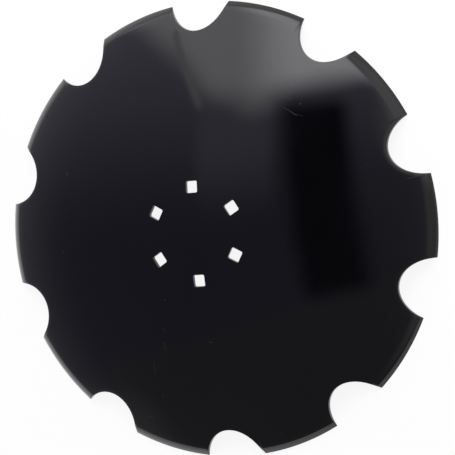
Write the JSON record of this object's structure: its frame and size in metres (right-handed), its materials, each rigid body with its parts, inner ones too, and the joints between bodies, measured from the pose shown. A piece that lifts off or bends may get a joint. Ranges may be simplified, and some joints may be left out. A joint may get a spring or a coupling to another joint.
{
  "type": "harrow disc blade",
  "caption": "Spherically dished, notched steel disc blade for a harrow, bevelled along its rim, with a circle of square bolt holes.",
  "frame": {"origin": "on the disc's axis, in the plane of the sharp rim that the blade lies on", "axes": "+Z along the disc's axis out of the dome, +Y through the middle of a rim notch and of a bolt hole, +X through the middle of a rim lobe"},
  "size_m": [0.51, 0.5054, 0.073],
  "materials": {
    "black_paint": "gloss black paint, lightly scuffed"
  },
  "bodies": {
    "root": {"disc_blade": "black_paint"}
  },
  "joints": []
}
